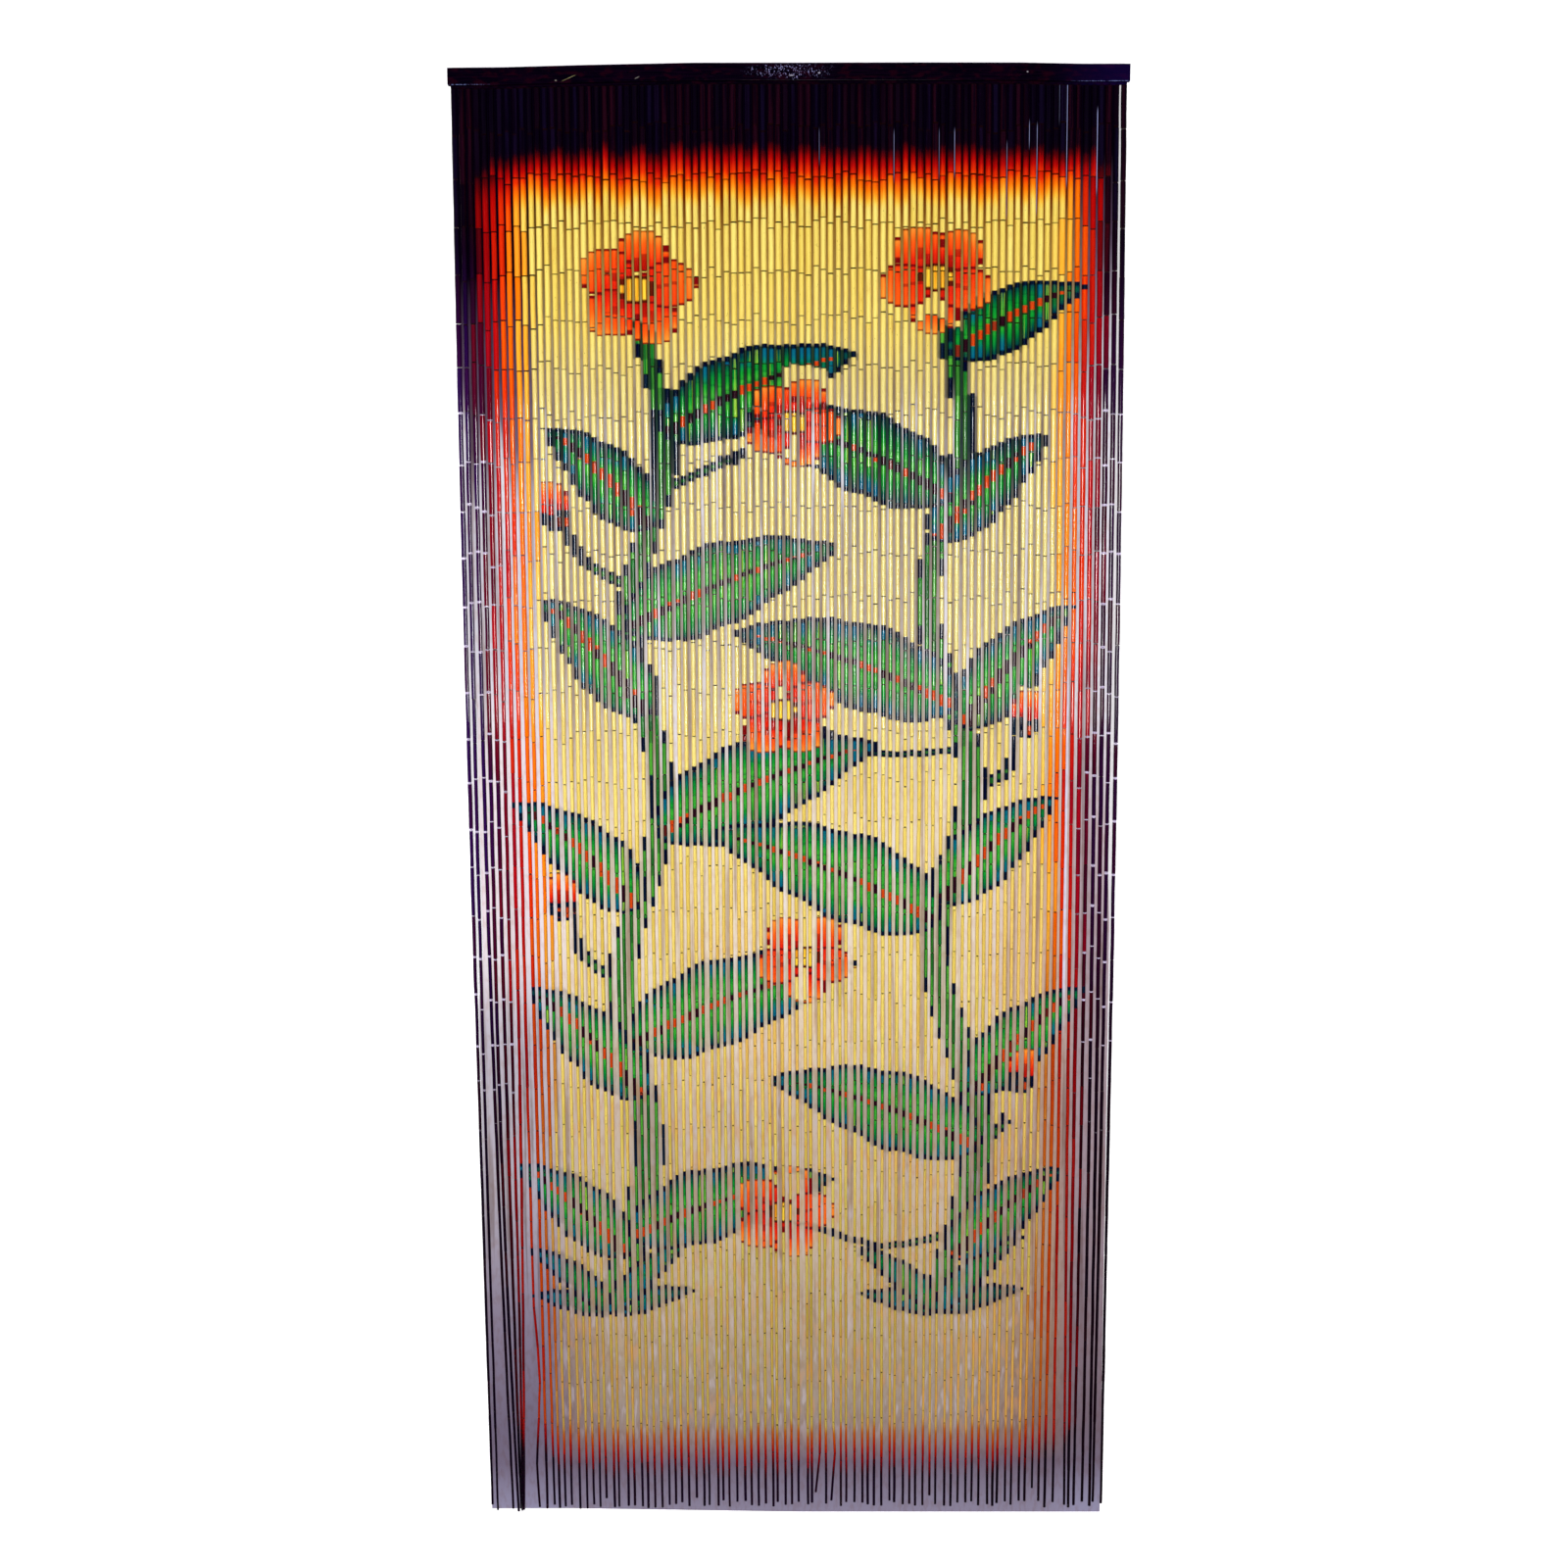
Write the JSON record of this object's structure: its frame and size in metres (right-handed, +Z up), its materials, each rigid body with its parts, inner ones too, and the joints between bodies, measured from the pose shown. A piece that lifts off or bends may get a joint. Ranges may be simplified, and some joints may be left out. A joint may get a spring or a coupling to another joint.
{
  "type": "bamboo bead door curtain and header rail",
  "caption": "Door curtain of thin tapering bamboo bead strands hung side by side from a painted wooden header rail, with a dark painted border.",
  "frame": {"origin": "middle of the header rail's flat back face, where it meets the wall or door frame", "axes": "+Z up, -Y out of the painted front towards the viewer, +X to the viewer's right"},
  "size_m": [0.9, 0.012, 2.0257],
  "materials": {
    "rail_paint": "wooden batten in near-black aubergine gloss paint, lightly scuffed",
    "painted_cane": "bamboo cane painted straw yellow with a dark red-edged border, under clear gloss varnish"
  },
  "bodies": {
    "root": {"header_rail": "rail_paint", "bamboo_strands": "painted_cane"}
  },
  "joints": []
}
